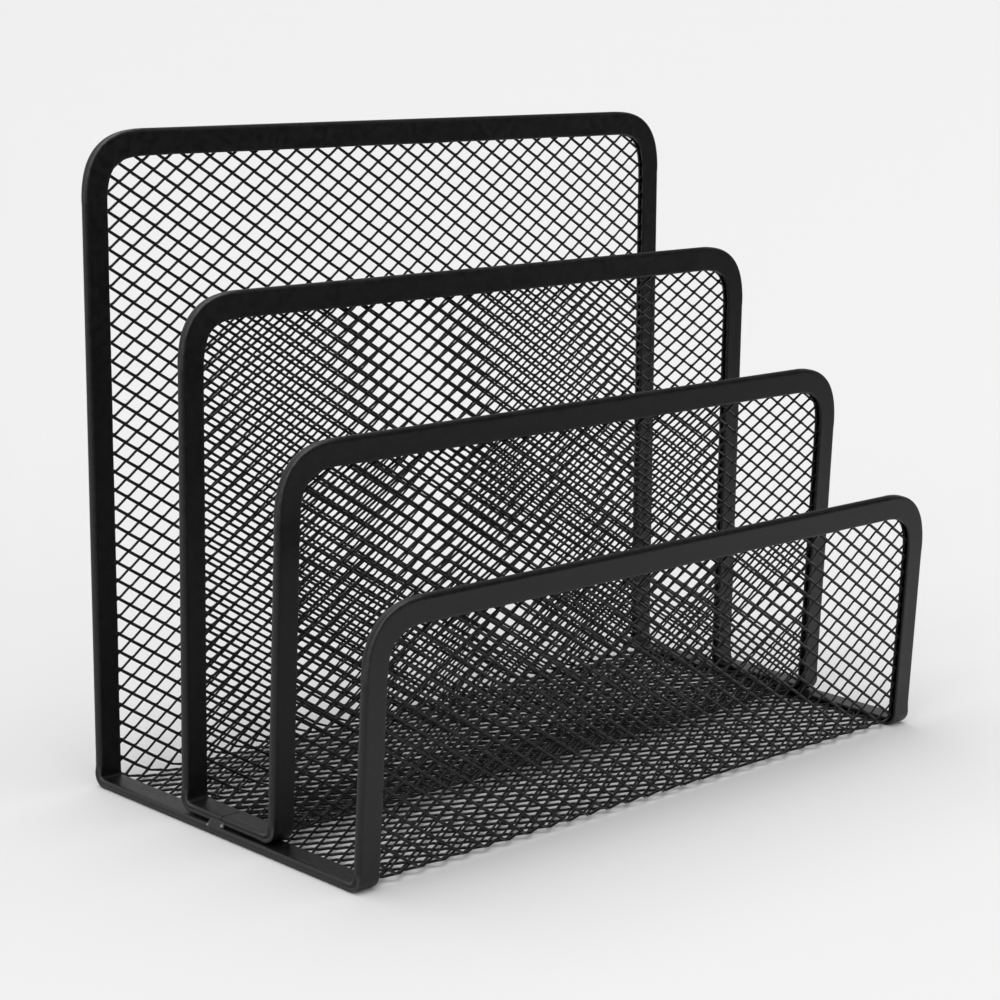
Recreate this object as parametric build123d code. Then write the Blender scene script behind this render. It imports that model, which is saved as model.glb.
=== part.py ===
from build123d import *

import os
from dataclasses import dataclass
from math import cos, hypot, radians, sin, tan

# A free-standing letter rack with three slots. Two U-bent trays of expanded steel sheet nest one in the other:
# the outer tray is the rear wall, the floor and the front wall, and the divider tray is the two inner walls on a
# short floor of their own. One folded steel strip binds the whole edge of each tray, and two tack welds between
# the strips hold the trays together. X is the width, +Y is the rear, Z = 0 is the desk, all in millimetres.

# Width over the folds of the outer strip, and how far in from them the divider strip's folds lie
outer_width = 172.0
divider_inset = 1.0

# Heights above the desk
rear_height = 135.6
rear_divider_height = 106.2
front_divider_height = 81.4
front_height = 56.3

# Depths between the walls' middle planes at the floor, and how far forward of the middle the divider tray sits
outer_depth = 80.4
divider_depth = 26.8
divider_forward = 0.7

# Leans out from upright, in degrees, as each bend sprang back
rear_lean = 2.4
rear_divider_lean = 1.6
front_divider_lean = 0.3
front_lean = 1.1

# Folded edge strip
strip_face = 5.6
strip_thickness = 2.0
strip_gauge = 0.4
crimp_clearance = 0.05
seam_gap = 0.2
seam_behind_middle = 1.3
corner_radius = 12.5
bend_inside_radius = 1.0

# Expanded steel sheet. The openings are drawn 2.5 times as large as the real 6 by 3.9 mm ones, with the same
# share of the sheet open, which keeps each flat of the net under 300 openings.
mesh_thickness = 0.6
mesh_long_pitch = 15.0
mesh_short_pitch = 9.75
mesh_strand = 1.75

# How the trays stack and are joined
nest_clearance = 0.1
weld_radius = 0.9
weld_length = 5.5
weld_clearance = 0.03
weld_behind_middle = 2.6

# Worked out from the sizes above
strip_half = strip_thickness / 2
divider_width = outer_width - 2 * divider_inset
bend_radius = bend_inside_radius + strip_half
mesh_inset = strip_half
outer_floor_z = strip_half
divider_floor_z = strip_thickness + nest_clearance + strip_half


@dataclass
class Wall:
    """One wall of a tray: facing is +1 at the rear and -1 at the front, y is where it meets the floor."""

    facing: int
    y: float
    lean: float
    height: float
    floor_z: float

    @property
    def bend_angle(self):
        """Degrees that the sheet turns from the floor into the wall."""
        return 90 - self.lean

    @property
    def tangent(self):
        """Length from the sharp corner of floor and wall to where the bend begins."""
        return bend_radius * tan(radians(self.bend_angle / 2))

    @property
    def slant(self):
        """Length up the wall from the sharp corner to the top of the strip."""
        return (self.height - self.floor_z) / cos(radians(self.lean))

    @property
    def heel_y(self):
        """Where the flat floor ends and the bend begins."""
        return self.y - self.facing * self.tangent

    @property
    def reach(self):
        """Farthest y of the wall, at the outer face of its top strip."""
        lean = radians(self.lean)
        return self.y + self.facing * ((self.slant - strip_half) * sin(lean) + strip_half)

    @property
    def plane(self):
        """Plane of the wall: x across the rack, y up the wall from the sharp corner."""
        lean = radians(self.lean)
        up = Vector(0, self.facing * sin(lean), cos(lean))
        return Plane(origin=(0, self.y, self.floor_z), x_dir=(1, 0, 0), z_dir=Vector(1, 0, 0).cross(up))


@dataclass
class Tray:
    """A U-bent sheet with its strip: seam_y is where the ends of the strip meet on the left base run."""

    width: float
    rear: Wall
    front: Wall
    floor_z: float
    seam_y: float


def centred_trays():
    """Lay out both trays so that the rack's overall box is centred on x = y = 0."""

    def wall(facing, middle, depth, lean, height, floor_z):
        return Wall(facing, middle + facing * depth / 2, lean, height, floor_z)

    def outer_walls(middle):
        return (
            wall(1, middle, outer_depth, rear_lean, rear_height, outer_floor_z),
            wall(-1, middle, outer_depth, front_lean, front_height, outer_floor_z),
        )

    rear, front = outer_walls(0)
    middle = -(rear.reach + front.reach) / 2
    rear, front = outer_walls(middle)
    divider_middle = middle - divider_forward
    weld_y = divider_middle + weld_behind_middle
    outer = Tray(outer_width, rear, front, outer_floor_z, weld_y)
    divider = Tray(
        divider_width,
        wall(1, divider_middle, divider_depth, rear_divider_lean, rear_divider_height, divider_floor_z),
        wall(-1, divider_middle, divider_depth, front_divider_lean, front_divider_height, divider_floor_z),
        divider_floor_z,
        divider_middle + seam_behind_middle,
    )
    return outer, divider, weld_y


def strip_section():
    """Channel section of the strip: x runs in from the fold to the two lips, y is across its thickness."""
    hollow = strip_half - strip_gauge
    lip = mesh_thickness / 2 + crimp_clearance
    lip_back = strip_face - strip_gauge
    upper = [(strip_half, strip_half), (strip_face, strip_half), (strip_face, lip), (lip_back, lip),
             (lip_back, hollow), (strip_half, hollow)]
    lower = [(x, -y) for x, y in upper]
    fold_outside = ThreePointArc(upper[0], (0, 0), lower[0])
    fold_inside = ThreePointArc(upper[-1], (strip_gauge, 0), lower[-1])
    return make_face([Polyline(*upper), fold_inside, Polyline(*lower), fold_outside])


def edge_steps(tray):
    """The strip's way round the tray from seam to seam: runs are lengths, corners and bends are degrees."""
    rear_side = tray.rear.slant - tray.rear.tangent - corner_radius
    front_side = tray.front.slant - tray.front.tangent - corner_radius
    top = tray.width - 2 * corner_radius

    def hoop(side, bend_angle):
        up_and_over = [("bend", bend_angle), ("run", side), ("corner", 90), ("run", top)]
        return up_and_over + [("corner", 90), ("run", side), ("bend", bend_angle)]

    yield "run", tray.rear.heel_y - tray.seam_y - seam_gap / 2
    yield from hoop(rear_side, tray.rear.bend_angle)
    yield "run", tray.rear.heel_y - tray.front.heel_y
    yield from hoop(front_side, tray.front.bend_angle)
    yield "run", tray.seam_y - tray.front.heel_y - seam_gap / 2


def edge_strip(tray):
    """Carry the channel section round the edge of the tray, as straight runs and turned arcs."""
    section = strip_section()
    start = (-tray.width / 2, tray.seam_y + seam_gap / 2, tray.floor_z)
    frame = Plane(origin=start, x_dir=(1, 0, 0), z_dir=(0, 1, 0))
    pieces = []
    for kind, size in edge_steps(tray):
        profile = frame * section
        inward, ahead = frame.x_dir, frame.z_dir
        if kind == "run":
            pieces.append(extrude(profile, amount=size, dir=ahead))
            frame = Plane(origin=frame.origin + ahead * size, x_dir=inward, z_dir=ahead)
            continue
        if kind == "corner":
            toward, radius = inward, corner_radius
        else:
            toward, radius = inward.cross(ahead), bend_radius
        axis = Axis(frame.origin + toward * radius, ahead.cross(toward))
        pieces.append(revolve(profile, axis, size))
        turned = Axis((0, 0, 0), axis.direction)
        chord = ahead * sin(radians(size)) + toward * (1 - cos(radians(size)))
        frame = Plane(
            origin=frame.origin + chord * radius,
            x_dir=inward.rotate(turned, size),
            z_dir=ahead.rotate(turned, size),
        )
    return pieces[0].fuse(*pieces[1:])


def net_holes(half_width, low, high, corner):
    """Diamond openings in staggered rows, the pitches eased so that whole diamonds run from edge to edge."""
    cell = mesh_long_pitch * mesh_short_pitch / hypot(mesh_long_pitch, mesh_short_pitch)
    open_part = 1 - mesh_strand / cell
    long_half = mesh_long_pitch / 2 * open_part
    short_half = mesh_short_pitch / 2 * open_part
    first_x = -half_width + mesh_strand + long_half
    first_y = low + mesh_strand + short_half
    columns = 2 * round(-2 * first_x / mesh_long_pitch)
    rows = round(2 * (high - mesh_strand - short_half - first_y) / mesh_short_pitch)
    step_x = -2 * first_x / columns
    step_y = (high - mesh_strand - short_half - first_y) / rows

    def clear_of_corner(x, y):
        past_x = abs(x) - (half_width - corner)
        past_y = y - (high - corner)
        return past_x < 0 or past_y < 0 or hypot(past_x, past_y) < corner - mesh_strand

    holes = []
    for row in range(rows + 1):
        for column in range(row % 2, columns + 1, 2):
            x = first_x + column * step_x
            y = first_y + row * step_y
            tips = [(x + long_half, y), (x, y + short_half), (x - long_half, y), (x, y - short_half)]
            if all(clear_of_corner(*tip) for tip in tips):
                holes.append(Wire.make_polygon(tips))
    return holes


def net(half_width, low, high, corner):
    """Flat net, mesh_thickness thick about its plane: a holed face with the two upper corners rounded."""
    edges = Polyline((-half_width, high - corner), (-half_width, low), (half_width, low), (half_width, high - corner))
    if corner:
        turn = corner * sin(radians(45))
        right = ThreePointArc(
            (half_width, high - corner),
            (half_width - corner + turn, high - corner + turn),
            (half_width - corner, high),
        )
        left = mirror(right, Plane.YZ)
        top = Line((half_width - corner, high), (corner - half_width, high))
        outline = Wire([*edges.edges(), right.edge(), top.edge(), left.edge()])
    else:
        outline = Wire([*edges.edges(), Line((half_width, high), (-half_width, high)).edge()])
    sheet = Face(outline, net_holes(half_width, low, high, corner))
    return extrude(sheet, amount=mesh_thickness / 2, dir=(0, 0, 1), both=True)


def wall_net(tray, wall):
    """Wall of a tray as a flat net, with the heel that turns it into the floor."""
    half_width = tray.width / 2 - mesh_inset
    flat = wall.plane * net(half_width, wall.tangent, wall.slant - mesh_inset, corner_radius - mesh_inset)
    heel_plane = Plane(origin=(0, wall.heel_y, wall.floor_z), x_dir=(1, 0, 0), z_dir=(0, wall.facing, 0))
    heel_edge = heel_plane * Rectangle(2 * half_width, mesh_thickness)
    centre = (0, wall.heel_y, wall.floor_z + bend_radius)
    heel = revolve(heel_edge, Axis(centre, (wall.facing, 0, 0)), wall.bend_angle)
    return flat.fuse(heel)


def floor_net(tray):
    """Flat floor of a tray between its two heels."""
    half_width = tray.width / 2 - mesh_inset
    return Pos(0, 0, tray.floor_z) * net(half_width, tray.front.heel_y, tray.rear.heel_y, 0)


def tack_weld(side, weld_y):
    """Bead in the groove between the folds of the two stacked base runs, on side -1 (left) or +1 (right)."""
    outer_fold = Vector(outer_width / 2 - strip_half, outer_floor_z)
    divider_fold = Vector(divider_width / 2 - strip_half, divider_floor_z)
    bead = Pos(outer_width / 2 - weld_radius, strip_thickness + nest_clearance) * Circle(weld_radius)
    keep = Pos(outer_fold.X, strip_thickness) * Rectangle(
        outer_width, strip_thickness, align=(Align.MIN, Align.CENTER)
    )
    fold = Circle(strip_half + weld_clearance)
    section = bead & keep
    section = section - Pos(outer_fold.X, outer_fold.Y) * fold - Pos(divider_fold.X, divider_fold.Y) * fold
    right = extrude(Plane.XZ.offset(-weld_y) * section, amount=weld_length / 2, both=True)
    return right if side > 0 else mirror(right, Plane.YZ)


outer, divider, weld_y = centred_trays()
nodes = {
    "outer_rear_mesh": wall_net(outer, outer.rear),
    "outer_floor_mesh": floor_net(outer),
    "outer_front_mesh": wall_net(outer, outer.front),
    "outer_edge_strip": edge_strip(outer),
    "divider_rear_mesh": wall_net(divider, divider.rear),
    "divider_floor_mesh": floor_net(divider),
    "divider_front_mesh": wall_net(divider, divider.front),
    "divider_edge_strip": edge_strip(divider),
    "tack_weld_left": tack_weld(-1, weld_y),
    "tack_weld_right": tack_weld(1, weld_y),
}

os.makedirs("parts", exist_ok=True)
for name, shape in nodes.items():
    export_step(shape, f"parts/{name}.step")
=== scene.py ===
import logging
from dataclasses import dataclass
from enum import Enum

import bpy
import numpy as np
from mathutils import Matrix, Vector


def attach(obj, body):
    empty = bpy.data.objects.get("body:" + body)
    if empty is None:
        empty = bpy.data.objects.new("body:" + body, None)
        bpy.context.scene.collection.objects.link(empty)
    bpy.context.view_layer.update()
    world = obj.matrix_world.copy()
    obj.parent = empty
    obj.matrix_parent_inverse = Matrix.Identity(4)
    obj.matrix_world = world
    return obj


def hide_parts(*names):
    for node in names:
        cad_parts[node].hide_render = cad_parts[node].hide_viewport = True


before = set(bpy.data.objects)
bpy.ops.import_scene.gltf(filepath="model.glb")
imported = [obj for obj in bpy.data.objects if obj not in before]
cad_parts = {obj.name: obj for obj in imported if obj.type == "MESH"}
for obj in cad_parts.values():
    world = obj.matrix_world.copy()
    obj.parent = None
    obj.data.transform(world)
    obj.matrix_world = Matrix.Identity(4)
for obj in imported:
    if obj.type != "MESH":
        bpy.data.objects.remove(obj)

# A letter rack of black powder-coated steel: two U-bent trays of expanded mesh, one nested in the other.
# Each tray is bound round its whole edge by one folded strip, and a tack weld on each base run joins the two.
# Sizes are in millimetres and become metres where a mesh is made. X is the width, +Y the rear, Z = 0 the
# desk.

MM = 0.001
LOG = logging.getLogger("letter_rack")
Array = np.ndarray
# The sines that a drift is made of: how many times faster than the slowest, and how many times the seed.
DRIFT_SINES = ((1.0, 1.0), (1.73, 2.1), (2.91, 4.7))
# Parts of half a pitch, in which the points round a diamond of the mesh are counted.
PARTS = 5


class Side(Enum):
    """Which end of a tray a wall stands at, as its direction along Y."""

    REAR = 1
    FRONT = -1


class Hand(Enum):
    """Which side of the rack a piece is on, as its direction along X."""

    LEFT = -1
    RIGHT = 1


class Raise(Enum):
    """Which way the strands of an expanded sheet lean, seen from inside the tray."""

    FOOT_IN = 1
    FOOT_OUT = -1


def smooth_step(low: float, high: float, value: Array) -> Array:
    """Ease from 0 at low to 1 at high along a cubic.

    Args:
        low: Value that gives 0.
        high: Value that gives 1.
        value: Values to ease.

    Returns:
        The eased values.
    """
    t = np.clip((value - low) / (high - low), 0.0, 1.0)
    return t * t * (3.0 - 2.0 * t)


def drift(along: Array, wavelength: float, seed: float) -> Array:
    """Give a slow unevenness between -1 and 1: the mean of three sines whose lengths share no multiple.

    Args:
        along: Distance along the piece in mm.
        wavelength: Longest of the three wavelengths in mm.
        seed: Shift that makes one piece differ from the next.

    Returns:
        The unevenness at each distance.
    """
    turn = 2.0 * np.pi * along / wavelength
    return sum(np.sin(faster * turn + shift * seed) for faster, shift in DRIFT_SINES) / len(DRIFT_SINES)


def linear(colour: str) -> tuple[float, float, float, float]:
    """Turn an sRGB hex colour such as "#1b1b1c" into linear RGBA.

    Args:
        colour: Hash sign and six hex digits.

    Returns:
        Linear red, green and blue, with alpha 1.
    """
    channels = np.array([int(colour[k:k + 2], 16) for k in (1, 3, 5)]) / 255.0
    low, high = channels / 12.92, ((channels + 0.055) / 1.055) ** 2.4
    return (*np.where(channels <= 0.04045, low, high).tolist(), 1.0)


def add_node(
    tree: bpy.types.NodeTree, kind: str, inputs: dict | None = None, **settings: object
) -> bpy.types.Node:
    """Add one node, with its settings, and fill or link its inputs.

    Args:
        tree: Node tree to add to.
        kind: Blender's type name of the node.
        inputs: Values, or sockets to link from, by input name or index.
        **settings: Properties of the node itself.

    Returns:
        The new node.
    """
    node = tree.nodes.new(kind)
    for name, value in settings.items():
        setattr(node, name, value)
    for name, value in (inputs or {}).items():
        if isinstance(value, bpy.types.NodeSocket):
            tree.links.new(value, node.inputs[name])
        else:
            node.inputs[name].default_value = value
    return node


def mix_colours(
    tree: bpy.types.NodeTree, share: bpy.types.NodeSocket, first: object, second: object
) -> bpy.types.NodeSocket:
    """Mix two colours, which a Mix node takes at its inputs 6 and 7 and gives at its output 2.

    Args:
        tree: Node tree to add to.
        share: How much of the second colour to take, from 0 to 1.
        first: Colour, or socket, at 0.
        second: Colour, or socket, at 1.

    Returns:
        The mixed colour.
    """
    return add_node(tree, "ShaderNodeMix", {0: share, 6: first, 7: second}, data_type="RGBA").outputs[2]


def mix_numbers(
    tree: bpy.types.NodeTree, share: bpy.types.NodeSocket, first: object, second: object
) -> bpy.types.NodeSocket:
    """Mix two numbers, which a Mix node takes at its inputs 2 and 3 and gives at its output 0.

    Args:
        tree: Node tree to add to.
        share: How much of the second number to take, from 0 to 1.
        first: Number, or socket, at 0.
        second: Number, or socket, at 1.

    Returns:
        The mixed number.
    """
    return add_node(tree, "ShaderNodeMix", {0: share, 2: first, 3: second}, data_type="FLOAT").outputs[0]


def new_piece(
    name: str, points: Array, faces: Array | list, attributes: dict[str, Array]
) -> bpy.types.Object:
    """Put worked-out points and faces into a mesh object at the origin, shaded smooth.

    Args:
        name: Name of the piece.
        points: Points in mm, one row each.
        faces: Rows of point numbers, or lists of them where the counts differ.
        attributes: Per-point values that the materials read, by name.

    Returns:
        The linked object.
    """
    mesh = bpy.data.meshes.new(name)
    mesh.from_pydata((points * MM).tolist(), [], faces if isinstance(faces, list) else faces.tolist())
    for key, values in attributes.items():
        mesh.attributes.new(key, "FLOAT", "POINT").data.foreach_set("value", values.astype(np.float32))
    mesh.polygons.foreach_set("use_smooth", np.ones(len(mesh.polygons), dtype=bool))
    mesh.update()
    piece = bpy.data.objects.new(name, mesh)
    bpy.context.scene.collection.objects.link(piece)
    return piece


@dataclass(frozen=True)
class PowderCoat:
    """Black polyester powder coat baked on steel: a satin film with a faint orange-peel swell and grit.

    It gives the eye a near-black body under a soft sheen. The film draws thin along the edges of the metal,
    so they show a shade greyer and a little smoother than the flats. On the strip's creased arrises and the
    weld's spatter the edge colour is also painted light: a painted highlight and a painted glint.
    """

    name: str
    body: str
    body_light: str
    edge: str
    roughness: float
    roughness_spread: float
    edge_roughness: float
    mottle_mm: float
    swell_mm: float
    swell_height_mm: float
    grit_mm: float
    grit_height_mm: float
    index: float = 1.43
    mottle_detail: float = 3.0
    mottle_range: tuple[float, float] = (0.35, 0.65)
    swell_detail: float = 1.0
    grit_detail: float = 2.0

    def build(self) -> bpy.types.Material:
        """Make the material from three noises and the piece's own "edge" attribute.

        Mottle shades the body and its sheen, swell and grit raise the surface, and the attribute wears the
        edges and, on the strip and the weld, paints a highlight on them.

        Returns:
            The new material.
        """
        material = bpy.data.materials.new(self.name)
        material.use_nodes = True
        tree = material.node_tree
        tree.nodes.clear()
        place = add_node(tree, "ShaderNodeTexCoord").outputs["Object"]
        edge = add_node(tree, "ShaderNodeAttribute", attribute_name="edge").outputs["Fac"]

        def noise(size_mm: float, detail: float) -> bpy.types.NodeSocket:
            """Add a noise whose blobs have a size in mm."""
            inputs = {"Vector": place, "Scale": 1.0 / (size_mm * MM), "Detail": detail}
            return add_node(tree, "ShaderNodeTexNoise", inputs).outputs["Fac"]

        mottle = noise(self.mottle_mm, self.mottle_detail)
        swell = noise(self.swell_mm, self.swell_detail)
        grit = noise(self.grit_mm, self.grit_detail)
        low, high = self.mottle_range
        patches = add_node(
            tree, "ShaderNodeMapRange", {"Value": mottle, "From Min": low, "From Max": high}
        ).outputs[0]
        body = mix_colours(tree, patches, linear(self.body), linear(self.body_light))
        # The edge colour goes on where the attribute says: worn coat on every piece, plus a painted highlight
        # on the strip's arrises and a painted glint on the weld's spatter.
        worn = add_node(tree, "ShaderNodeMath", {0: edge, 1: swell}, operation="MULTIPLY").outputs[0]
        colour = mix_colours(tree, worn, body, linear(self.edge))
        least, most = self.roughness - self.roughness_spread, self.roughness + self.roughness_spread
        satin = add_node(
            tree, "ShaderNodeMapRange", {"Value": patches, "To Min": least, "To Max": most}
        ).outputs[0]
        rough = mix_numbers(tree, edge, satin, self.edge_roughness)
        waves = add_node(
            tree, "ShaderNodeBump",
            {"Height": swell, "Distance": self.swell_height_mm * MM, "Strength": 1.0},
        ).outputs[0]
        grain = add_node(
            tree, "ShaderNodeBump",
            {"Height": grit, "Distance": self.grit_height_mm * MM, "Strength": 1.0, "Normal": waves},
        ).outputs[0]
        shader = add_node(
            tree, "ShaderNodeBsdfPrincipled",
            {"Base Color": colour, "Roughness": rough, "Normal": grain, "Metallic": 0.0, "IOR": self.index},
        )
        add_node(tree, "ShaderNodeOutputMaterial", {"Surface": shader.outputs[0]})
        return material


# The light edge colour is partly worn coat and partly a painted highlight along the creased fold's arrises.
STRIP_COAT = PowderCoat(
    name="black_satin_powder_coat_on_folded_steel",
    body="#0a0a0a", body_light="#171717", edge="#5c5c5c",
    roughness=0.42, roughness_spread=0.05, edge_roughness=0.36,
    mottle_mm=1.3, swell_mm=1.1, swell_height_mm=0.012, grit_mm=0.35, grit_height_mm=0.004,
)
MESH_COAT = PowderCoat(
    name="black_satin_powder_coat_on_expanded_steel",
    body="#0c0c0c", body_light="#111111", edge="#181818",
    roughness=0.46, roughness_spread=0.05, edge_roughness=0.40,
    mottle_mm=9.0, swell_mm=0.9, swell_height_mm=0.005, grit_mm=0.3, grit_height_mm=0.002,
)
# The pale edge colour marks the spatter drops: partly bare metal where the coat is chipped, partly a painted
# glint.
WELD_COAT = PowderCoat(
    name="black_powder_coat_pooled_over_weld",
    body="#121212", body_light="#1a1a1a", edge="#c8c8c4",
    roughness=0.36, roughness_spread=0.06, edge_roughness=0.25,
    mottle_mm=1.6, swell_mm=0.7, swell_height_mm=0.02, grit_mm=0.3, grit_height_mm=0.004,
)


@dataclass(frozen=True)
class Wall:
    """One wall of a tray.

    foot_y is where the middle planes of wall and floor would meet. lean is how many degrees the wall stands
    out from upright.
    """

    side: Side
    foot_y: float
    lean: float
    height: float


@dataclass(frozen=True)
class FoldedSheet:
    """A flat sheet bent into a U, which carries points of the flat sheet to their place on the rack.

    On the flat sheet u runs across the rack, v runs from the front wall's top to the rear wall's top and
    equals y on the floor, and n is the height above the sheet's middle plane, towards the inside of the U.
    """

    width: float
    floor_z: float
    rear: Wall
    front: Wall
    bend_radius: float = 2.0

    def bend_angle(self, wall: Wall) -> float:
        """Give the angle in radians that the sheet turns from the floor into a wall."""
        return np.radians(90.0 - wall.lean)

    def tangent(self, wall: Wall) -> float:
        """Give the length from the sharp corner of floor and wall to where the bend begins."""
        return self.bend_radius * np.tan(self.bend_angle(wall) / 2.0)

    def heel(self, wall: Wall) -> float:
        """Give the v at which the flat floor ends and a wall's bend begins."""
        return wall.foot_y - wall.side.value * self.tangent(wall)

    def top(self, wall: Wall) -> float:
        """Give the v of a wall's top edge: the heel, then the arc, then the straight part of the wall."""
        straight = (wall.height - self.floor_z) / np.cos(np.radians(wall.lean)) - self.tangent(wall)
        return self.heel(wall) + wall.side.value * (self.bend_radius * self.bend_angle(wall) + straight)

    def bend_span(self, wall: Wall) -> tuple[float, float]:
        """Give the v where a wall's bend starts at the floor and where it ends on the wall."""
        heel = self.heel(wall)
        return heel, heel + wall.side.value * self.bend_radius * self.bend_angle(wall)

    def place(self, u: Array, v: Array, n: Array) -> Array:
        """Carry flat points to the bent sheet.

        Past a heel the way first turns through the bend, as far as the arc length allows, and then runs
        straight on: the point is the heel plus the arc's chord plus the straight remainder along the tangent
        plus n along the normal.

        Args:
            u: Places across the sheet.
            v: Places along the sheet.
            n: Heights above its middle plane.

        Returns:
            Points in mm, one row each.
        """
        wall_is_rear = v > 0.5 * (self.heel(self.rear) + self.heel(self.front))
        sign = np.where(wall_is_rear, 1.0, -1.0)
        heel = np.where(wall_is_rear, self.heel(self.rear), self.heel(self.front))
        full = np.where(wall_is_rear, self.bend_angle(self.rear), self.bend_angle(self.front))
        past = (v - heel) * sign
        turn = np.clip(past / self.bend_radius, 0.0, full)
        straight = np.where(past < 0.0, past, np.maximum(past - self.bend_radius * full, 0.0))
        out = self.bend_radius * np.sin(turn) + straight * np.cos(turn) - n * np.sin(turn)
        up = self.bend_radius * (1.0 - np.cos(turn)) + straight * np.sin(turn) + n * np.cos(turn)
        return np.stack([u, heel + sign * out, self.floor_z + up], axis=-1)


@dataclass(frozen=True)
class EdgeStrip:
    """The steel strip folded over a sheet's edge: a channel section carried once round, seam to seam.

    Sizes are in mm. The angles that place the wear on the fold, and the painted highlight along the
    creased fold's two arrises, are in radians from its middle. The supports are places on the flat faces,
    in from the fold and back from the lip, where the section has a point.
    """

    sheet: FoldedSheet
    seam_v: float
    face: float = 5.6
    thickness: float = 2.0
    gauge: float = 0.4
    lip_gap: float = 0.35
    lip_chamfer: tuple[float, float] = (0.1, 0.08)
    edge_round: float = 0.3
    fold_supports: tuple[float, float] = (0.25, 1.7)
    lip_supports: tuple[float, float] = (1.3, 0.2)
    fold_steps: int = 32
    hollow_every: int = 4
    lip_steps: int = 4
    corner_reach: float = 15.0
    corner_ease: float = 0.5
    corner_steps: int = 28
    seam_gap: float = 0.2
    run_step: float = 1.5
    bend_step: float = 0.22
    station_digits: int = 4
    station_slack: float = 1e-4
    lip_drift: float = 0.10
    lip_drift_from: float = 1.5
    lip_wave: float = 47.0
    face_drift: float = 0.035
    face_middle: float = 3.2
    face_spread: float = 1.4
    face_wave: float = 83.0
    crease_power: float = 0.5
    crease_dish: float = 0.30
    crease_width: float = 0.30
    corner_crease_power: float = 0.4
    base_crease: float = 0.6
    arris_wear_and_highlight: float = 1.0
    arris_angle: float = 0.8
    arris_spread: float = 0.30
    fold_wear: float = 0.6
    fold_wear_spread: float = 0.9
    lip_wear: float = 0.09
    lip_wear_shares: tuple[float, ...] = (0.0, 0.0, 0.0, 0.2, 0.5, 0.9, 1.0, 0.9, 0.6, 0.3, 0.0, 0.0, 0.0)
    sharp_angle: float = 50.0
    seed: float = 0.0

    def profile(self, crease: float) -> tuple[Array, Array, Array]:
        """Work out the closed outline of the section: fold, two faces, rounded lips, hollow inside.

        The fold is a half circle on the straight runs. Where it is creased its cosine and sine are raised to
        a power below 1, which squares it into two edges, and its middle is dished in along a bell curve.

        Args:
            crease: 0 for the round fold, 1 for the creased one.

        Returns:
            Distance in from the fold, height above the sheet, and edge wear with, on the creased fold, a
            painted highlight at its two arrises, for each point of the outline, which runs from the inner
            face round the fold to the outer face and back through the hollow.
        """
        half, hollow, r = self.thickness / 2.0, self.thickness / 2.0 - self.gauge, self.edge_round
        fold = np.radians(np.linspace(90.0, 270.0, self.fold_steps + 1))
        power = 1.0 - (1.0 - self.crease_power) * crease
        level = np.sign(np.sin(fold)) * np.abs(np.sin(fold)) ** power
        dish = self.crease_dish * crease * np.exp(-((level / self.crease_width) ** 2))
        outer_fold = half * np.stack([1.0 - np.abs(np.cos(fold)) ** power, level], axis=1)
        outer_fold[:, 0] += dish
        inner_fold = np.stack([half + hollow * np.cos(fold), hollow * np.sin(fold)], axis=1)
        inner_fold = inner_fold[::-self.hollow_every]
        lip = np.radians(np.linspace(-90.0, 0.0, self.lip_steps + 1))
        lip_round = np.stack([self.face - r + r * np.cos(lip), -half + r + r * np.sin(lip)], axis=1)
        back = self.face - self.gauge
        (at_fold, past_fold), (before_lip, at_lip) = self.fold_supports, self.lip_supports
        flat = np.array([
            [half + at_fold, -half], [half + past_fold, -half],
            [back - before_lip, -half], [self.face - r - at_lip, -half],
        ])
        cut_in, cut_up = self.lip_chamfer
        lip_end = np.array([
            [self.face, -self.lip_gap - cut_up], [self.face - cut_in, -self.lip_gap],
            [back, -self.lip_gap], [back, -hollow],
        ])
        lower = np.concatenate([flat, lip_round, lip_end])
        upper = (lower * [1.0, -1.0])[::-1]
        outline = np.concatenate([outer_fold, lower, inner_fold, upper])
        aside = fold - np.pi
        worn_middle = self.fold_wear * self.lip_wear * np.exp(-((aside / self.fold_wear_spread) ** 2))
        # The creased fold's two arrises take the light edge colour: partly worn coat, partly a painted
        # highlight.
        off_arris = (np.abs(aside) - self.arris_angle) / self.arris_spread
        arrises_worn_and_highlighted = self.arris_wear_and_highlight * np.exp(-(off_arris ** 2))
        fold_wear_and_highlight = (1.0 - crease) * worn_middle + crease * arrises_worn_and_highlighted
        worn_lip = self.lip_wear * np.array(self.lip_wear_shares)
        wear = np.concatenate([fold_wear_and_highlight, worn_lip, np.zeros(len(inner_fold)), worn_lip[::-1]])
        return outline[:, 0], outline[:, 1], wear

    def run(self, start: float, end: float) -> Array:
        """Space stations along a side of the sheet, close together where the side goes round a bend.

        Args:
            start: First v.
            end: Last v, on either side of start.

        Returns:
            The stations in order, both ends included.
        """
        low, high = min(start, end), max(start, end)
        parts = [np.linspace(low, high, max(2, int((high - low) / self.run_step)))]
        for wall in (self.sheet.rear, self.sheet.front):
            first, last = sorted(self.sheet.bend_span(wall))
            steps = int((last - first) / self.bend_step)
            parts.append(np.linspace(first, last, steps))
        stations = np.unique(np.round(np.concatenate(parts), self.station_digits))
        inside = (stations >= low - self.station_slack) & (stations <= high + self.station_slack)
        stations = stations[inside]
        return stations if end > start else stations[::-1]

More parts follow.
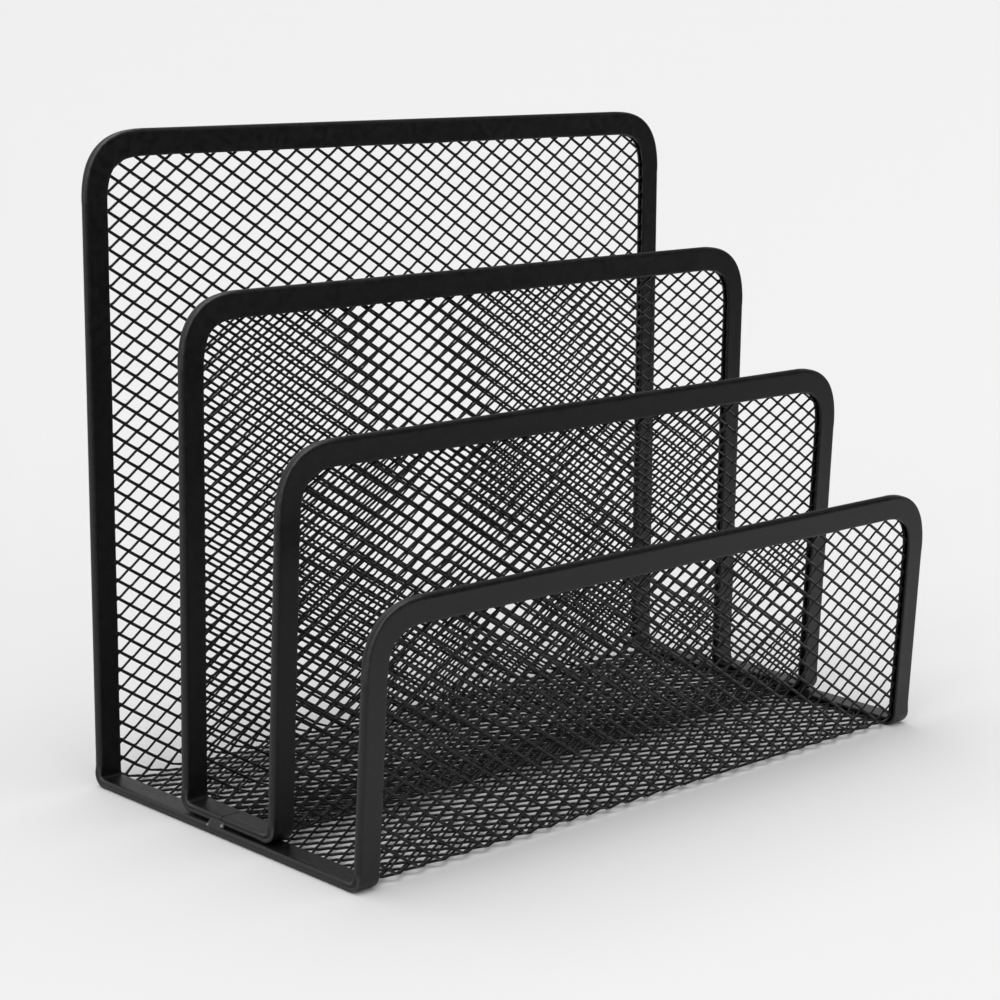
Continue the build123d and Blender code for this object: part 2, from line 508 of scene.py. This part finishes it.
    def path(self) -> tuple[Array, Array, Array, Array]:
        """Follow the outermost line of the fold round the flat sheet: a rectangle with eased corners.

        It starts behind the seam on the left side, goes up the rear wall, over its top, down the right side,
        up the front wall, over its top and back to the seam. Round a corner the heading turns through a
        right angle, more quickly in the middle than at the ends: heading = a quarter turn *
        (t - ease * sin(2 pi t) / (2 pi)), and the station is the sum of the headings so far.

        Returns:
            u and v of each station, and the u and v parts of the direction in from the edge.
        """
        half, r = self.sheet.width / 2.0, self.corner_reach
        rear_top, front_top = self.sheet.top(self.sheet.rear), self.sheet.top(self.sheet.front)
        t = np.linspace(0.0, 1.0, self.corner_steps + 1)
        heading = np.pi / 2.0 * (t - self.corner_ease * np.sin(2.0 * np.pi * t) / (2.0 * np.pi))
        middle = (heading[1:] + heading[:-1]) / 2.0
        forward = np.concatenate([[0.0], np.cumsum(np.cos(middle))])
        sideways = np.concatenate([[0.0], np.cumsum(np.sin(middle))])
        forward, sideways = forward / forward[-1] * r, sideways / sideways[-1] * r
        across = np.linspace(-half + r, half - r, int((2.0 * (half - r)) / self.run_step))

        def side(u: float, start: float, end: float) -> Array:
            """Stack the stations of one side with their inward direction."""
            v = self.run(start, end)
            return np.stack([np.full_like(v, u), v, np.full_like(v, -np.sign(u)), np.zeros_like(v)], axis=1)

        def cap(u: Array, v: float, inward: float) -> Array:
            """Stack the stations of one top edge with their inward direction."""
            return np.stack([u, np.full_like(u, v), np.zeros_like(u), np.full_like(u, inward)], axis=1)

        def corner(u: float, v: float, ahead: tuple[float, float], inward: tuple[float, float]) -> Array:
            """Stack the stations of one corner from where it leaves its side, turning towards the inside."""
            first, across_it = np.array(ahead), np.array(inward)
            places = np.array([u, v]) + forward[:, None] * first + sideways[:, None] * across_it
            inwards = np.cos(heading)[:, None] * across_it - np.sin(heading)[:, None] * first
            return np.concatenate([places, inwards], axis=1)[1:-1]

        stations = np.concatenate([
            side(-half, self.seam_v + self.seam_gap / 2.0, rear_top - r),
            corner(-half, rear_top - r, (0.0, 1.0), (1.0, 0.0)),
            cap(across, rear_top, -1.0),
            corner(half - r, rear_top, (1.0, 0.0), (0.0, -1.0)),
            side(half, rear_top - r, front_top + r),
            corner(half, front_top + r, (0.0, -1.0), (-1.0, 0.0)),
            cap(across[::-1], front_top, 1.0),
            corner(-half + r, front_top, (-1.0, 0.0), (0.0, 1.0)),
            side(-half, front_top + r, self.seam_v - self.seam_gap / 2.0),
        ])
        return tuple(stations.T)

    def creased(self, v: Array, in_u: Array, in_v: Array) -> Array:
        """Give how far the fold is creased along the path: fully round the corners and bends, nowhere else.

        Round a corner it is twice the product of the two parts of the inward direction, to a low power. At a
        bend it falls from 1 to 0 between one and two half lengths of the bend from its middle.

        Args:
            v: Places along the sheet.
            in_u: Part of the inward direction across the sheet.
            in_v: Part of the inward direction along the sheet.

        Returns:
            The crease of each station, from 0 to 1.
        """
        crease = np.clip(2.0 * np.abs(in_u * in_v), 0.0, 1.0) ** self.corner_crease_power
        for wall in (self.sheet.rear, self.sheet.front):
            first, last = self.sheet.bend_span(wall)
            half, aside = abs(last - first) / 2.0, np.abs(v - (first + last) / 2.0)
            crease = np.maximum(crease, 1.0 - smooth_step(half, 2.0 * half, aside))
        return crease

    def build(self, name: str, *nodes: str) -> bpy.types.Object:
        """Carry the section along the path and bend it with the sheet.

        The section goes over from the round fold to the creased one by the station's crease, and part of the
        way along the base runs. The lips wander a little in depth and the faces a little in height, as
        crimped strip does, and the two cut ends at the seam are closed.

        Args:
            name: Name of the piece.
            *nodes: CAD nodes that it stands for.

        Returns:
            The finished piece.
        """
        (inward, height, wear), (set_inward, set_height, set_wear_and_highlight) = self.profile(0.0), self.profile(1.0)
        u, v, in_u, in_v = self.path()
        # How far each station is creased, which also sets how much painted arris highlight it takes.
        worn = self.creased(v, in_u, in_v)[:, None]
        on_base = (v > self.sheet.heel(self.sheet.front)) & (v < self.sheet.heel(self.sheet.rear))
        crease = np.maximum(worn, self.base_crease * on_base[:, None])
        along = np.concatenate([[0.0], np.cumsum(np.hypot(np.diff(u), np.diff(v)))])
        lip = smooth_step(self.lip_drift_from, self.face, inward)
        short = self.lip_drift * 0.5 * (1.0 + drift(along, self.lip_wave, self.seed))
        sink = self.face_drift * 0.5 * (1.0 + drift(along, self.face_wave, self.seed + 1.0))
        depth = inward + crease * (set_inward - inward) - short[:, None] * lip
        middle = np.exp(-(((inward - self.face_middle) / self.face_spread) ** 2))
        level = (height + crease * (set_height - height)) * (1.0 - sink[:, None] * middle)
        flat_u, flat_v = u[:, None] + depth * in_u[:, None], v[:, None] + depth * in_v[:, None]
        points = self.sheet.place(flat_u.ravel(), flat_v.ravel(), level.ravel())
        rows, columns = depth.shape
        grid = np.arange(rows * columns).reshape(rows, columns)
        after = np.roll(grid, -1, axis=1)
        quads = np.stack([grid[:-1], grid[1:], after[1:], after[:-1]], axis=-1).reshape(-1, 4)
        ends = [grid[0].tolist(), grid[-1, ::-1].tolist()]
        # Creased stations take the arris set, whose light edge colour is partly a painted highlight.
        edge = (wear + worn * (set_wear_and_highlight - wear)).ravel()
        piece = new_piece(name, points, quads.tolist() + ends, {"edge": edge})
        piece.data.set_sharp_from_angle(angle=np.radians(self.sharp_angle))
        return finish_piece(piece, STRIP_COAT, nodes)


@dataclass(frozen=True)
class Lattice:
    """How the diamonds lie on one wall of the flat sheet, which is never quite square to the tray.

    The pitches and the first diamond's place are in mm, and shear and slant, out of square, in degrees.
    """

    long_pitch: float
    short_pitch: float
    first_u: float
    first_v: float
    shear: float
    slant: float = 0.0

    def place(self, column: Array, row: Array) -> Array:
        """Give the flat place of a lattice point from its column and row, which are in half pitches."""
        u = self.first_u + column * self.long_pitch / 2.0
        v = self.first_v + row * self.short_pitch / 2.0 + u * np.tan(np.radians(self.shear))
        return np.stack([u + v * np.tan(np.radians(self.slant)), v])


@dataclass(frozen=True)
class ExpandedMesh:
    """The expanded steel of one tray: slit and drawn into staggered diamonds, then bent with its sheet.

    Sizes are in mm. Rises are out of the sheet, and tips run from a bond's middle to the hole. The centres
    of the last diamonds lie at least edge_in inside the strip's outermost line, and the rim up to rim_out
    nearer to it. Around the edge of the strip's window, over press_span, the sheet goes over to its pressed
    height.
    """

    sheet: FoldedSheet
    rear: Lattice
    front: Lattice
    lean: Raise
    strand_half: float = 0.33
    ridge: float = 0.31
    ridge_drop: float = -0.025
    foot_rise: float = 0.10
    bond_rise: float = 0.12
    strand_twist: float = 0.025
    side_tip: float = 0.60
    head_tip: float = 0.38
    foot_tip: float = 0.48
    head_fillet: float = 0.25
    edge_in: float = 2.6
    rim_out: float = 0.6
    crush: float = 1.5
    corner_radius: float = 12.5
    window_in: float = 5.6
    pressed: float = 0.6
    press_span: tuple[float, float] = (0.3, 1.6)
    slope_step: float = 0.01
    spare_columns: int = 2
    spare_rows: int = 4
    bond_wear: float = 0.5
    hole_wear: float = 0.3

    def ring(self) -> dict[str, Array]:
        """Work out one diamond as two rings of twelve points: round the strands' middles and round the hole.

        From the right-hand bond counter-clockwise, each strand has a point a fifth of its length from either
        bond. The hole's edge is the strands' middle line moved in by half a strand, with its tips rounded
        off at the bonds. A strand's middle stands in front at its foot and behind at its head, a hole's
        lower edge in front and its upper edge behind, because the sheet was drawn open.

        Returns:
            "key", whole fifths of half a pitch for the outer ring; "hole", offsets in mm of the inner ring;
            "ridge_move", how far in mm the inner face's ridge lies from the middle line; "outer_rise" and
            "hole_rise", heights in mm; "bond", 1 at the four bonds.
        """
        a, b = self.rear.long_pitch / 2.0, self.rear.short_pitch / 2.0
        key = np.array([
            [5, 0], [4, 1], [1, 4], [0, 5], [-1, 4], [-4, 1],
            [-5, 0], [-4, -1], [-1, -4], [0, -5], [1, -4], [4, -1],
        ])
        centre = key / PARTS * [a, b]
        quadrant = np.sign(key)
        normal = quadrant * [b, a] / np.hypot(a, b)
        ridge_move = -self.ridge_drop * normal * quadrant[:, 1:]
        ridge_move[::3] = 0.0
        hole = centre - normal * self.strand_half
        hole[[2, 4]] = hole[[2, 4]] - (centre[[2, 4]] - centre[3]) * self.head_fillet
        hole[[0, 6]] = [[a - self.side_tip, 0.0], [self.side_tip - a, 0.0]]
        hole[3] = [0.0, b - self.head_tip]
        hole[9] = [0.0, self.foot_tip - b]
        lean = self.lean.value
        outer_rise = self.foot_rise * lean * np.array([0, 1, -1, 0, -1, 1, 0, -1, 1, 0, 1, -1])
        twist = self.strand_twist * lean * np.array([0, -1, -1, 0, -1, -1, 0, 1, 1, 0, 1, 1])
        hole_rise = outer_rise + twist
        hole_rise[[3, 9]] = self.bond_rise * lean * np.array([-1.0, 1.0])
        bond = (np.abs(key).max(axis=1) == PARTS).astype(float)
        return {
            "key": key, "hole": hole, "ridge_move": ridge_move,
            "outer_rise": outer_rise, "hole_rise": hole_rise, "bond": bond,
        }

    def outline_depth(self, u: Array, v: Array) -> Array:
        """Measure how far inside the strip's outermost line each point of the flat sheet lies.

        It is the distance to the nearest side of the rectangle, or near a corner the corner's radius less
        the distance from its centre.

        Args:
            u: Places across the sheet.
            v: Places along the sheet.

        Returns:
            Depths in mm, negative outside.
        """
        low, high = self.sheet.top(self.sheet.front), self.sheet.top(self.sheet.rear)
        mid, half_v, half_u = (low + high) / 2.0, (high - low) / 2.0, self.sheet.width / 2.0
        past_u = np.abs(u) - (half_u - self.corner_radius)
        past_v = np.abs(v - mid) - (half_v - self.corner_radius)
        inside = np.minimum(np.maximum(past_u, past_v), 0.0)
        return self.corner_radius - inside - np.hypot(np.maximum(past_u, 0.0), np.maximum(past_v, 0.0))

    def cells(self) -> tuple[Array, Array]:
        """Choose the diamonds whose centres lie inside the sheet's trimmed edge.

        Returns:
            Column and row of each diamond, in half pitches, whose sum is even.
        """
        low, high = self.sheet.top(self.sheet.front), self.sheet.top(self.sheet.rear)
        reach = self.spare_columns + int(self.sheet.width / self.rear.long_pitch)
        first = int(2.0 * low / self.rear.short_pitch) - self.spare_rows
        last = int(2.0 * high / self.rear.short_pitch) + self.spare_rows
        columns, rows = np.arange(-reach, reach + 1), np.arange(first, last + 1)
        column, row = (x.ravel() for x in np.meshgrid(columns, rows))
        even = (column + row) % 2 == 0
        column, row = column[even], row[even]
        u, v = self.flat(column, row)
        keep = self.outline_depth(u, v) > self.edge_in
        return column[keep], row[keep]

    def flat(self, column: Array, row: Array) -> tuple[Array, Array]:
        """Give the flat place of a lattice point, which on the floor lies between the two walls' lattices.

        There it goes over evenly from the front wall's lattice to the rear wall's.

        Args:
            column: Columns in half pitches.
            row: Rows in half pitches.

        Returns:
            u and v of each point.
        """
        front, rear = self.front.place(column, row), self.rear.place(column, row)
        start, end = self.sheet.heel(self.sheet.front), self.sheet.heel(self.sheet.rear)
        share = np.clip((rear[1] - start) / (end - start), 0.0, 1.0)
        u, v = front + (rear - front) * share
        return u, v

    def hold_in(self, u: Array, v: Array) -> tuple[Array, Array, Array]:
        """Press points that stick out past the sheet's rim back inside it, as the crimped strip does.

        A point nearer the outline than the rim and the crush width moves straight in, so that its depth
        never falls below the rim's: new depth = rim + crush * exp((depth - rim - crush) / crush).

        Args:
            u: Places across the sheet.
            v: Places along the sheet.

        Returns:
            The new u and v, and how much of its height the sheet keeps there, from 1 in the open to the
            pressed share in the strip.
        """
        depth = self.outline_depth(u, v)
        slope_u = (self.outline_depth(u + self.slope_step, v) - depth) / self.slope_step
        slope_v = (self.outline_depth(u, v + self.slope_step) - depth) / self.slope_step
        crush = self.crush
        limit = self.edge_in - self.rim_out + crush
        new = np.where(depth < limit, limit - crush + crush * np.exp((depth - limit) / crush), depth)
        before, beyond = self.press_span
        free = smooth_step(self.window_in - before, self.window_in + beyond, depth)
        keeps = self.pressed + (1.0 - self.pressed) * free
        return u + slope_u * (new - depth), v + slope_v * (new - depth), keeps

    def build(self, name: str, *nodes: str) -> bpy.types.Object:
        """Repeat the diamond over the lattice, share the rings of neighbours, close the rim and bend it all.

        Args:
            name: Name of the piece.
            *nodes: CAD nodes that it stands for.

        Returns:
            The finished piece.
        """
        ring = self.ring()
        column, row = self.cells()
        count, size = len(column), len(ring["key"])
        centres = np.stack([column, row], axis=1)[:, None, :]
        fifths = centres * PARTS + ring["key"]
        shared, first, number = np.unique(
            fifths.reshape(-1, 2), axis=0, return_index=True, return_inverse=True
        )
        outer = number.reshape(count, size)
        outer_u, outer_v = self.flat(shared[:, 0] / PARTS, shared[:, 1] / PARTS)
        outer_rise = np.tile(ring["outer_rise"], count)[first]
        outer_bond = np.tile(ring["bond"], count)[first]
        ridge_u, ridge_v = np.tile(ring["ridge_move"], (count, 1))[first].T
        half_pitch = np.array([self.rear.long_pitch, self.rear.short_pitch]) / 2.0
        hole_places = centres + ring["hole"] / half_pitch
        hole_u, hole_v = self.flat(*hole_places.reshape(-1, 2).T)
        hole_rise = np.tile(ring["hole_rise"], count)

        u = np.concatenate([outer_u + ridge_u, outer_u - ridge_u, hole_u])
        v = np.concatenate([outer_v + ridge_v, outer_v - ridge_v, hole_v])
        rise = np.concatenate([outer_rise + self.ridge, outer_rise - self.ridge, hole_rise])
        u, v, keeps = self.hold_in(u, v)
        points = self.sheet.place(u, v, rise * keeps)

        total = len(shared)
        front, back = outer, outer + total
        hole = np.arange(count * size).reshape(count, size) + 2 * total
        front_next, back_next, hole_next = (np.roll(x, -1, axis=1) for x in (front, back, hole))
        front_faces = np.stack([front, front_next, hole_next, hole], axis=-1).reshape(-1, 4)
        back_faces = np.stack([back, hole, hole_next, back_next], axis=-1).reshape(-1, 4)
        ahead = np.stack([front, front_next], axis=-1).reshape(-1, 2)
        _, place, uses = np.unique(np.sort(ahead, axis=1), axis=0, return_index=True, return_counts=True)
        rim = ahead[place[uses == 1]]
        rim_faces = np.stack([rim[:, 1], rim[:, 0], rim[:, 0] + total, rim[:, 1] + total], axis=-1)
        faces = np.concatenate([front_faces, back_faces, rim_faces])
        bond_edge, hole_edge = self.bond_wear * outer_bond, np.full(len(hole_u), self.hole_wear)
        edge = np.concatenate([bond_edge, bond_edge, hole_edge])
        piece = new_piece(name, points, faces, {"edge": edge})
        return finish_piece(piece, MESH_COAT, nodes)


@dataclass(frozen=True)
class WeldBead:
    """A tack weld run into the groove between the folds of the two base runs, then coated over.

    Sizes are in mm. limit is how far out the bead may reach, and batter how far it leans in for each mm of
    rise. The drops of spatter have a place along the bead and an angle round it in radians.
    """

    hand: Hand
    y: float
    x: float = 85.1
    z: float = 2.05
    limit: float = 85.99
    half_length: float = 2.45
    half_depth: float = 0.58
    half_height: float = 1.35
    batter: float = 0.476
    end_power: int = 6
    ripple: float = 0.03
    ripple_pitch: float = 1.2
    ripple_bow: float = 0.5
    low_drop: tuple[float, float] = (2.05, -0.24)
    high_drop: tuple[float, float] = (-2.05, 0.40)
    drop_length: float = 0.28
    drop_angle: float = 0.22
    drop_height: float = 0.35
    drop_chip_and_glint: float = 1.6
    rings: int = 96
    sides: int = 64

    def drop(self, along: Array, angle: Array, middle: tuple[float, float]) -> Array:
        """Give the height of one drop of spatter, a bell curve in length and angle that is 1 at its middle.

        Args:
            along: Places along the bead in mm.
            angle: Angles round it in radians.
            middle: The drop's own place and angle.

        Returns:
            The height at each place and angle.
        """
        past, aside = (along - middle[0]) / self.drop_length, (angle - middle[1]) / self.drop_angle
        return np.exp(-(past ** 2) - (aside ** 2))

    def build(self, name: str, *nodes: str) -> bpy.types.Object:
        """Shape the bead: a rounded lozenge, frozen ripples across it and a drop of spatter at each end.

        Along the bead the section swells as (1 - t^6)^(1/2) from its ends. Round the bead it is an ellipse
        that leans with the step between the two folds. The ripples are sines along the length bowed by the
        angle, and the drops sit low at the rear end and high at the front end.

        Args:
            name: Name of the piece.
            *nodes: CAD nodes that it stands for.

        Returns:
            The finished piece.
        """
        t = -np.cos(np.linspace(0.0, np.pi, self.rings + 1))[1:-1, None]
        angle = np.linspace(-np.pi, np.pi, self.sides, endpoint=False)[None, :]
        swell = np.sqrt(1.0 - t ** self.end_power)
        along = t * self.half_length
        bow = along + self.ripple_bow * np.cos(angle)
        ripple = self.ripple * np.sin(2.0 * np.pi * bow / self.ripple_pitch) * swell
        drops = self.drop(along, angle, self.low_drop) + self.drop(along, angle, self.high_drop)
        reach = swell + ripple
        rise = self.half_height * reach * np.sin(angle)
        out = self.x + self.half_depth * reach * np.cos(angle) - self.batter * rise
        out = np.minimum(out + self.drop_height * drops, self.limit)
        side = self.hand.value
        ring_points = np.stack(
            [side * out, np.broadcast_to(self.y + along, out.shape), self.z + rise], axis=-1
        ).reshape(-1, 3)
        poles = np.array([
            [side * self.x, self.y - self.half_length, self.z],
            [side * self.x, self.y + self.half_length, self.z],
        ])
        points = np.concatenate([ring_points, poles])
        rows, columns = self.rings - 1, self.sides
        grid = np.arange(rows * columns).reshape(rows, columns)
        after = np.roll(grid, -1, axis=1)
        quads = np.stack([grid[:-1], grid[1:], after[1:], after[:-1]], axis=-1).reshape(-1, 4)
        start, end = np.full(columns, rows * columns), np.full(columns, rows * columns + 1)
        caps = np.concatenate([
            np.stack([start, grid[0], after[0]], axis=-1), np.stack([end, after[-1], grid[-1]], axis=-1),
        ])
        faces = quads.tolist() + caps.tolist()
        if self.hand is Hand.LEFT:
            faces = [face[::-1] for face in faces]
        # The drops take the pale edge colour: partly chipped bare metal, partly a painted glint.
        edge = np.concatenate([drops.ravel(), [0.0, 0.0]])
        piece = new_piece(name, points, faces, {"edge": np.clip(self.drop_chip_and_glint * edge, 0.0, 1.0)})
        return finish_piece(piece, WELD_COAT, nodes)


def finish_piece(
    piece: bpy.types.Object, coat: PowderCoat, nodes: tuple[str, ...]
) -> bpy.types.Object:
    """Dress a piece and tie it to the rack.

    Args:
        piece: The new piece.
        coat: Its finish.
        nodes: CAD nodes that it stands for.

    Returns:
        The same piece.
    """
    material = bpy.data.materials.get(coat.name) or coat.build()
    piece.data.materials.append(material)
    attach(piece, "root")
    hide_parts(*nodes)
    LOG.info("%s: %d faces, stands for %s", piece.name, len(piece.data.polygons), ", ".join(nodes))
    return piece


@dataclass(frozen=True)
class LetterRack:
    """The whole rack: outer tray, divider tray and the two tack welds between them."""

    outer: FoldedSheet
    divider: FoldedSheet
    outer_seam: float
    divider_seam: float
    weld_y: float

    def build(self) -> None:
        """Build both meshes, both strips and both weld beads."""
        ExpandedMesh(
            self.outer, lean=Raise.FOOT_IN,
            rear=Lattice(
                long_pitch=5.90, short_pitch=3.812, first_u=0.60, first_v=0.82, shear=1.2, slant=-0.317
            ),
            front=Lattice(long_pitch=5.975, short_pitch=3.812, first_u=0.10, first_v=1.23, shear=0.88),
        ).build("outer_mesh", "outer_rear_mesh", "outer_floor_mesh", "outer_front_mesh")
        ExpandedMesh(
            self.divider, lean=Raise.FOOT_OUT,
            rear=Lattice(
                long_pitch=5.908, short_pitch=3.531, first_u=-0.78, first_v=-1.045, shear=0.75, slant=0.285
            ),
            front=Lattice(long_pitch=5.89, short_pitch=3.531, first_u=-0.65, first_v=-0.82, shear=0.65),
            strand_half=0.30, ridge=0.25, ridge_drop=0.09,
            foot_rise=0.05, bond_rise=0.10, strand_twist=0.046,
        ).build("divider_mesh", "divider_rear_mesh", "divider_floor_mesh", "divider_front_mesh")
        EdgeStrip(self.outer, self.outer_seam, seed=0.7).build("outer_strip", "outer_edge_strip")
        EdgeStrip(self.divider, self.divider_seam, seed=2.9).build("divider_strip", "divider_edge_strip")
        WeldBead(Hand.LEFT, self.weld_y).build("weld_bead_left", "tack_weld_left")
        WeldBead(Hand.RIGHT, self.weld_y).build("weld_bead_right", "tack_weld_right")


@dataclass(frozen=True)
class Lamp:
    """A far, broad lamp, which lights the whole floor evenly.

    comes_from is the direction from the rack to the lamp, spread how many degrees wide the lamp looks from
    there, and level how bright it makes white paper that faces it, with 1 as white.
    """

    name: str
    comes_from: tuple[float, float, float]
    spread: float
    level: float

    def hang(self) -> None:
        """Make the lamp and turn it towards the rack."""
        light = bpy.data.lights.new(self.name, "SUN")
        light.angle, light.energy = np.radians(self.spread), np.pi * self.level
        lamp = bpy.data.objects.new(self.name, light)
        lamp.matrix_world = Vector(self.comes_from).to_track_quat("Z", "Y").to_matrix().to_4x4()
        bpy.context.scene.collection.objects.link(lamp)


@dataclass(frozen=True)
class Studio:
    """A pale floor under soft light, two dark cards for the rack to mirror, and a camera at its front left.

    The floor and the cards are in metres, the camera's place, lens and sensor in mm, its angles in degrees.
    """

    floor_colour: str = "#fafafa"
    floor_half: float = 14.0
    card_colour: str = "#5a5a5a"
    card_y: float = -0.22
    card_sides: tuple[float, float] = (-1.0, 3.0)
    card_height: float = 0.34
    flag_x: float = 2.0
    flag_sides: tuple[float, float] = (-2.2, 1.9)
    flag_heights: tuple[float, float] = (0.8, 4.2)
    matt_roughness: float = 0.5
    sky_light: float = 0.45
    lamps: tuple[Lamp, ...] = (
        Lamp("overhead_softbox", comes_from=(0.1, 0.25, 1.0), spread=70.0, level=0.45),
        Lamp("left_softbox", comes_from=(-0.9, -0.2, 0.7), spread=50.0, level=0.15),
    )
    camera_at: tuple[float, float, float] = (-390.46, -377.90, 176.52)
    azimuth: float = -45.346
    elevation: float = 12.442
    roll: float = 2.013
    lens: float = 92.34
    sensor: float = 36.0
    clip: tuple[float, float] = (0.01, 50.0)

    def board(self, name: str, corners: list[tuple[float, float, float]], colour: str) -> bpy.types.Object:
        """Set up one flat matt board of the studio.

        Args:
            name: Name of the board and its material.
            corners: Its four corners in metres.
            colour: Hex colour of its matt face.

        Returns:
            The staged board.
        """
        mesh = bpy.data.meshes.new(name)
        mesh.from_pydata(corners, [], [(0, 1, 2, 3)])
        board = bpy.data.objects.new(name, mesh)
        bpy.context.scene.collection.objects.link(board)
        material = bpy.data.materials.new("matt_" + name)
        material.use_nodes = True
        tree = material.node_tree
        tree.nodes.clear()
        paper = add_node(
            tree, "ShaderNodeBsdfDiffuse", {"Color": linear(colour), "Roughness": self.matt_roughness}
        )
        add_node(tree, "ShaderNodeOutputMaterial", {"Surface": paper.outputs[0]})
        mesh.materials.append(material)
        return board

    def floor(self) -> None:
        """Lay the floor: pale matt paper, which keeps the rack's shadow."""
        half = self.floor_half
        self.board(
            "paper_floor", [(-half, -half, 0.0), (half, -half, 0.0), (half, half, 0.0), (-half, half, 0.0)],
            self.floor_colour,
        )

    def cards(self) -> None:
        """Set up two dark cards that show only as reflections.

        One stands in front and keeps the front faces black. One hangs far to the right, like a flag in a
        studio, and keeps the top folds dark.
        """
        y, (left, right), top = self.card_y, self.card_sides, self.card_height
        card_corners = [(left, y, 0.0), (right, y, 0.0), (right, y, top), (left, y, top)]
        x, (near, far), (low, high) = self.flag_x, self.flag_sides, self.flag_heights
        flag_corners = [(x, near, low), (x, far, low), (x, far, high), (x, near, high)]
        for name, corners in (("dark_card", card_corners), ("dark_flag", flag_corners)):
            card = self.board(name, corners, self.card_colour)
            card.visible_camera = card.visible_diffuse = False
            card.visible_transmission = card.visible_shadow = False

    def sky(self) -> None:
        """Surround the set with even light, which shows as white where it is seen or mirrored."""
        world = bpy.data.worlds.new("soft_studio")
        bpy.context.scene.world = world
        world.use_nodes = True
        tree = world.node_tree
        tree.nodes.clear()
        ray = add_node(tree, "ShaderNodeLightPath").outputs
        seen = ray["Is Camera Ray"]
        for kind in ("Is Transmission Ray", "Is Glossy Ray"):
            seen = add_node(tree, "ShaderNodeMath", {0: seen, 1: ray[kind]}, operation="MAXIMUM").outputs[0]
        strength = mix_numbers(tree, seen, self.sky_light, 1.0)
        glow = add_node(tree, "ShaderNodeBackground", {"Color": linear("#ffffff"), "Strength": strength})
        add_node(tree, "ShaderNodeOutputWorld", {"Surface": glow.outputs[0]})

    def camera(self) -> None:
        """Stand the camera where the rack's edges line up with the view it is matched to."""
        a, e, r = np.radians([self.azimuth, self.elevation, self.roll])
        back = Vector((np.sin(a) * np.cos(e), -np.cos(a) * np.cos(e), np.sin(e)))
        level = Vector((np.cos(a), np.sin(a), 0.0))
        upright = back.cross(level)
        right = level * np.cos(r) + upright * np.sin(r)
        up = upright * np.cos(r) - level * np.sin(r)
        data = bpy.data.cameras.new("camera")
        data.sensor_width, data.lens = self.sensor, self.lens
        data.clip_start, data.clip_end = self.clip
        camera = bpy.data.objects.new("camera", data)
        camera.matrix_world = Matrix.Translation(Vector(self.camera_at) * MM) @ Matrix(
            [(right[k], up[k], back[k]) for k in range(3)]
        ).to_4x4()
        bpy.context.scene.collection.objects.link(camera)
        bpy.context.scene.camera = camera

    def build(self) -> None:
        """Set up the floor, the cards, the light and the camera."""
        bpy.context.scene.view_settings.view_transform = "Standard"
        self.floor()
        self.cards()
        self.sky()
        for lamp in self.lamps:
            lamp.hang()
        self.camera()


def main() -> None:
    """Build the rack and its studio."""
    logging.basicConfig(level=logging.INFO, format="%(name)s: %(message)s")
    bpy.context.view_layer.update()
    outer = FoldedSheet(
        width=172.0, floor_z=1.0,
        rear=Wall(Side.REAR, foot_y=37.92, lean=2.4, height=135.6),
        front=Wall(Side.FRONT, foot_y=-42.478, lean=1.1, height=56.3),
    )
    divider = FoldedSheet(
        width=170.0, floor_z=3.1,
        rear=Wall(Side.REAR, foot_y=10.42, lean=1.6, height=106.2),
        front=Wall(Side.FRONT, foot_y=-16.38, lean=0.3, height=81.4),
    )
    LetterRack(outer, divider, outer_seam=-0.38, divider_seam=-1.68, weld_y=-0.38).build()
    Studio().build()
    bpy.context.view_layer.update()


if __name__ == "__main__":
    main()
